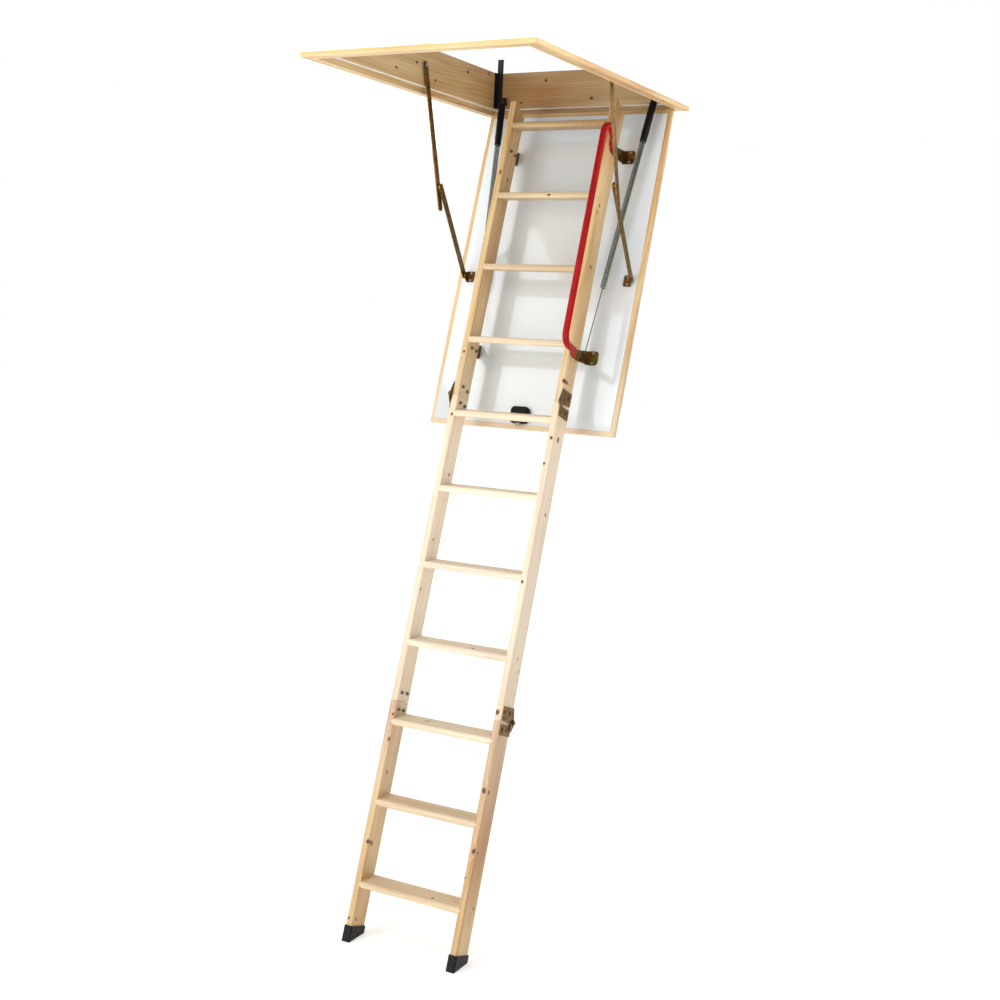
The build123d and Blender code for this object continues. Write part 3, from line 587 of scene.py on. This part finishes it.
def makeSeal(s):
    # soft strip round the rebate, rounded where the hatch presses on it
    low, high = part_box("frame_seal")
    bpy.ops.object.select_all(action="DESELECT")
    bpy.ops.mesh.primitive_plane_add(size=1, location=(0, 0, high[2]))
    seal = bpy.context.object
    settle(seal)
    bpy.ops.object.mode_set(mode="EDIT")
    bpy.ops.mesh.select_all(action="SELECT")
    bpy.ops.transform.resize(value=(high[0] - low[0], high[1] - low[1], 1))
    bpy.ops.mesh.inset(thickness=s["width"])
    bpy.ops.mesh.delete(type="FACE")
    bpy.ops.mesh.select_all(action="SELECT")
    bpy.ops.mesh.extrude_region_move(TRANSFORM_OT_translate={"value": (0, 0, low[2] - high[2])})
    bpy.ops.mesh.select_mode(type="EDGE")
    bpy.ops.mesh.select_all(action="DESELECT")
    bpy.ops.object.mode_set(mode="OBJECT")
    for edge in seal.data.edges:
        a, b = (seal.data.vertices[i].co for i in edge.vertices)
        way = (a - b).normalized()
        along = max(abs(way.x), abs(way.y)) > 0.99
        edge.select = along and max(a.z, b.z) < (low[2] + high[2]) / 2
    bpy.ops.object.mode_set(mode="EDIT")
    bpy.ops.mesh.bevel(offset=s["round"], segments=s["segments"], profile=s["profile"])
    bpy.ops.mesh.select_mode(type="VERT")
    tidyMesh()
    bpy.ops.object.shade_smooth_by_angle(angle=math.radians(35))
    bare(seal, "sealStrip", finishes["seal_foam"])
    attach(seal, "frame")
    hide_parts("frame_seal")


screwSettings = {
    "head": 0.0045, "high": 0.002, "shank": 0.002, "long": 0.0204, "tip": 0.5,
    "crown": 0.55, "rim": 0.12, "recess": 0.0011,   # crown and rim are shares of the head
    "arms": (14, 76), "pinch": 0.42,                # points between the arms are pulled in this far
}


def makeScrew(s):
    # pan head with a cross recess; the seat is at the origin and the shank runs down -Z
    bpy.ops.object.select_all(action="DESELECT")
    bpy.ops.mesh.primitive_cylinder_add(vertices=24, radius=s["head"], depth=s["high"],
                                        location=(0, 0, s["high"] / 2))
    screw = bpy.context.object
    settle(screw)
    bpy.ops.object.mode_set(mode="EDIT")
    pickFaces(screw, lambda centre, normal: normal.z > 0.9)
    bpy.ops.mesh.bevel(offset=s["high"] * s["crown"], segments=3, profile=0.6)
    pickFaces(screw, lambda centre, normal: normal.z > 0.99 and centre.z > s["high"] * 0.95)
    bpy.ops.mesh.inset(thickness=s["head"] * s["rim"])
    bpy.ops.mesh.extrude_region_move(TRANSFORM_OT_translate={"value": (0, 0, -s["recess"])})
    floorZ = s["high"] - s["recess"]

    def between(co):
        turn = math.degrees(math.atan2(co.y, co.x)) % 90
        inner = math.hypot(co.x, co.y) < s["head"] * 0.5
        return co.z > floorZ - 0.0001 and inner and s["arms"][0] < turn < s["arms"][1]

    pickPoints(screw, between)
    bpy.ops.transform.resize(value=(s["pinch"], s["pinch"], 1))
    pickFaces(screw, lambda centre, normal: normal.z < -0.9 and centre.z < 0.0001)
    bpy.ops.mesh.inset(thickness=s["head"] - s["shank"])
    bpy.ops.mesh.extrude_region_move(TRANSFORM_OT_translate={"value": (0, 0, -s["long"])})
    bpy.ops.transform.resize(value=(s["tip"], s["tip"], 1))
    tidyMesh()
    bpy.ops.object.shade_smooth_by_angle(angle=math.radians(30))
    return bare(screw, "screwMaster", finishes["zinc_steel"])


screwPlaces = {
    "seat": 0.0264 + 0.003,     # the hatch's face and a plate on it
    "bracketOut": 0.224, "brackets": (0.180, 0.905), "bracketStep": 0.017,
    "hingeStart": -0.27, "hingeStep": 0.09, "hingeCount": 7, "hingeAt": (0.604, -0.002),
    "hingeSize": (0.62, 0.62, 0.4),
    "stayOut": 0.298, "stays": (0.616, 0.640), "staySize": (0.8, 0.8, 0.7),
}


def placeScrews(screw, s):
    # eight on the ladder brackets' feet, in the CAD screws' places
    turn = Matrix.Rotation(lean, 4, "X")
    places = []
    for bracket in s["brackets"]:
        for side in (-1, 1):
            for step in (-s["bracketStep"], s["bracketStep"]):
                spot = flatPoint(side * s["bracketOut"], bracket + step, s["seat"])
                places.append(Matrix.Translation(spot) @ turn)
    flange = copies(screw, "bracketScrews", places)
    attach(flange, "hatch")
    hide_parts("bracket_screws")
    # small ones up through the frame's leaf of the long hinge
    small = Matrix.Diagonal((*s["hingeSize"], 1))
    down = Matrix.Rotation(math.pi, 4, "X")
    spots = [s["hingeStart"] + s["hingeStep"] * i for i in range(s["hingeCount"])]
    onFrame = [Matrix.Translation((x, *s["hingeAt"])) @ down @ small for x in spots]
    frameScrews = copies(screw, "hingeScrewsFrame", onFrame)
    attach(frameScrews, "frame")
    # and two in the foot of each stay bracket
    onStay = [Matrix.Translation(flatPoint(side * s["stayOut"], along, s["seat"])) @ turn
              for side in (-1, 1) for along in s["stays"]]
    smaller = Matrix.Diagonal((*s["staySize"], 1))
    stayScrews = copies(screw, "stayBracketScrews", [place @ smaller for place in onStay])
    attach(stayScrews, "hatch")
    discard(screw)


springSettings = {
    "top": (0.292, -0.032, 0.064), "low": (0.209, 0.903, 0.066),
    "coilStart": 0.152, "coilEnd": 0.704, "coil": 0.008, "wire": 0.0016, "pitch": 0.0062,
    "steps": 14, "sides": 8, "hook": 0.0027, "hookTurn": 305, "tuck": 0.004,
    "bendStart": (0, -0.032, 0.064), "bendEnd": (0, 0.17, 0.064),
}


def springPlace(s, side):
    # local Z runs down the spring from its anchor, local X stays level
    top = flatPoint(side * s["top"][0], *s["top"][1:])
    low = flatPoint(side * s["low"][0], *s["low"][1:])
    down = (low - top).normalized()
    level = (Vector((side, 0, 0)) - down * down.x * side).normalized()
    across = down.cross(level)
    turn = Matrix((level, across, down)).transposed().to_4x4()
    return Matrix.Translation(top) @ turn, (low - top).length


def makeWire(s, start, stop, out):
    # straight wire whose end turns round into an eye; out is the side the eye lies to
    bpy.ops.object.select_all(action="DESELECT")
    bpy.ops.mesh.primitive_circle_add(vertices=10, radius=s["wire"], fill_type="NGON",
                                      location=(0, 0, start))
    wire = bpy.context.object
    settle(wire)
    bpy.ops.object.mode_set(mode="EDIT")
    bpy.ops.mesh.select_all(action="SELECT")
    bpy.ops.mesh.extrude_region_move(TRANSFORM_OT_translate={"value": (0, 0, stop - start)})
    way = 1 if stop > start else -1
    bpy.ops.mesh.spin(steps=18, angle=math.radians(s["hookTurn"]) * way * out,
                      center=(out * s["hook"], 0, stop), axis=(0, 1, 0))
    tidyMesh()
    return wire


def makeSpring(s, side):
    place, length = springPlace(s, side)
    turns = round((s["coilEnd"] - s["coilStart"]) / s["pitch"])
    bpy.ops.object.select_all(action="DESELECT")
    bpy.ops.mesh.primitive_circle_add(vertices=s["sides"], radius=s["wire"], rotation=(math.pi / 2, 0, 0),
                                      location=(s["coil"], 0, s["coilStart"]))
    coil = bpy.context.object
    settle(coil)
    winding = coil.modifiers.new("winding", "SCREW")
    winding.axis, winding.angle = "Z", 2 * math.pi
    winding.screw_offset, winding.iterations = s["pitch"], turns
    winding.steps = winding.render_steps = s["steps"]
    bpy.ops.object.modifier_apply(modifier="winding")
    bpy.ops.object.mode_set(mode="EDIT")
    bpy.ops.mesh.select_all(action="SELECT")
    bpy.ops.mesh.fill_holes(sides=s["sides"])
    tidyMesh()
    upper = makeWire(s, s["coilStart"] + s["tuck"], 0.0, 1)
    lower = makeWire(s, s["coilEnd"] - s["tuck"], length, -1)
    bpy.ops.object.select_all(action="DESELECT")
    for part in (upper, lower, coil):
        part.select_set(True)
    bpy.context.view_layer.objects.active = coil
    bpy.ops.object.join()
    coil.data.transform(place)
    bpy.ops.object.shade_smooth_by_angle(angle=math.radians(60))
    word = "Right" if side > 0 else "Left"
    bare(coil, "coilSpring" + word, finishes["spring_steel"])
    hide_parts("spring_" + word.lower())
    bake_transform(coil)


capSettings = {
    "radius": 0.0125, "start": 0.014, "stop": 0.172, "wall": 0.0018, "mouth": 0.03, "shoulder": 0.004,
    "ribs": 9, "ribStart": 0.018, "ribWide": 0.0035, "ribHigh": 0.0007, "inset": 0.0008,
}


def makeCap(s, springs):
    # ribbed sleeve that closes round the wire at its top
    bpy.ops.object.select_all(action="DESELECT")
    bpy.ops.mesh.primitive_cylinder_add(vertices=32, radius=s["radius"] - s["inset"],
                                        depth=s["stop"] - s["start"],
                                        location=(0, 0, (s["start"] + s["stop"]) / 2))
    cap = bpy.context.object
    settle(cap)
    bpy.ops.object.mode_set(mode="EDIT")
    pickFaces(cap, lambda centre, normal: normal.z > 0.9)
    bpy.ops.mesh.inset(thickness=s["wall"])
    bpy.ops.mesh.extrude_region_move(TRANSFORM_OT_translate={"value": (0, 0, -s["mouth"])})
    pickFaces(cap, lambda centre, normal: normal.z < -0.9)
    bpy.ops.mesh.bevel(offset=s["shoulder"], segments=3, profile=0.5)
    step = (s["stop"] - s["start"] - s["mouth"]) / s["ribs"]
    tops = [s["start"] + s["ribStart"] + i * step for i in range(s["ribs"])]
    for top in tops:
        for height in (top, top + s["ribWide"]):
            bpy.ops.mesh.select_all(action="SELECT")
            bpy.ops.mesh.bisect(plane_co=(0, 0, height), plane_no=(0, 0, 1))
    tidyMesh()
    bpy.ops.object.mode_set(mode="EDIT")

    def onRib(centre, normal):
        outer = abs(normal.z) < 0.3 and math.hypot(centre.x, centre.y) > s["radius"] * 0.8
        return outer and any(top < centre.z < top + s["ribWide"] for top in tops)

    pickFaces(cap, onRib)
    bpy.ops.mesh.extrude_region_shrink_fatten(TRANSFORM_OT_shrink_fatten={"value": s["ribHigh"]})
    tidyMesh()
    bpy.ops.object.shade_smooth_by_angle(angle=math.radians(32))
    bare(cap, "capMaster", finishes["black_plastic"])
    caps = copies(cap, "springSleeves", [springPlace(springs, side)[0] for side in (-1, 1)])
    discard(cap)
    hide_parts("spring_caps")
    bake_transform(caps)


makeSeal(sealSettings)
placeScrews(makeScrew(screwSettings), screwPlaces)
print("seal and screws made")
for side in (-1, 1):
    makeSpring(springSettings, side)
makeCap(capSettings, springSettings)
print("springs wound")


floorSettings = {
    "size": 60, "height": cadBounds[0][2] - 0.0005,
    "near": 1.5, "far": 6.0, "glow": (0.42, 1.0),   # glows more with distance, so no horizon shows
}


def makeFloor(s):
    bpy.ops.object.select_all(action="DESELECT")
    bpy.ops.mesh.primitive_plane_add(size=s["size"], location=(0, 0, s["height"]))
    floor = bpy.context.object
    floor.name = "studioFloor"
    r = Recipe("paleFloor")
    cloud = r.noise(r.place, 1.5, 3.0).outputs["Fac"]
    tone = r.blend(r.span(cloud, 0.3, 0.7, 0, 1), paint("#F7F7F6"), paint("#F3F3F2"))
    far = r.span(r.vector("LENGTH", r.place), s["near"], s["far"], *s["glow"])
    floor.data.materials.append(r.finish(Base_Color=tone, Roughness=0.85, Emission_Color=(1, 1, 1, 1),
                                         Emission_Strength=far))


makeFloor(floorSettings)

# the ceiling that the casing laps; from above it is clear, so the box's top can be seen
ceilingSettings = {"margin": 0.95, "glow": 0.45}


def makeCeiling(s):
    low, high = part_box("frame_side_left")[0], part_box("frame_side_right")[1]
    wide, deep = high[0] - low[0], high[1] - low[1]
    bpy.ops.object.select_all(action="DESELECT")
    bpy.ops.mesh.primitive_plane_add(size=1, location=(0, 0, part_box("frame_trim")[1][2]))
    ceiling = bpy.context.object
    ceiling.name = "studioCeiling"
    bpy.ops.object.mode_set(mode="EDIT")
    bpy.ops.mesh.select_all(action="SELECT")
    bpy.ops.transform.resize(value=(wide + 2 * s["margin"], deep + 2 * s["margin"], 1))
    bpy.ops.mesh.inset(thickness=s["margin"])
    bpy.ops.mesh.delete(type="FACE")
    bpy.ops.object.mode_set(mode="OBJECT")
    r = Recipe("paleCeiling")
    cloud = r.noise(r.place, 2.0, 3.0).outputs["Fac"]
    tone = r.blend(r.span(cloud, 0.3, 0.7, 0, 1), paint("#FBFBFA"), paint("#F7F7F6"))
    r.finish(Base_Color=tone, Roughness=0.9, Emission_Color=(1, 1, 1, 1), Emission_Strength=s["glow"])
    side = r.node("ShaderNodeNewGeometry").outputs["Backfacing"]
    both = r.node("ShaderNodeMixShader")
    r.feed(both.inputs[0], side)
    r.feed(both.inputs[1], r.node("ShaderNodeBsdfTransparent").outputs[0])
    r.feed(both.inputs[2], r.shader.outputs[0])
    r.feed(r.tree.nodes["Material Output"].inputs["Surface"], both.outputs[0])
    ceiling.data.materials.append(r.material)


makeCeiling(ceilingSettings)
print("floor and ceiling laid")
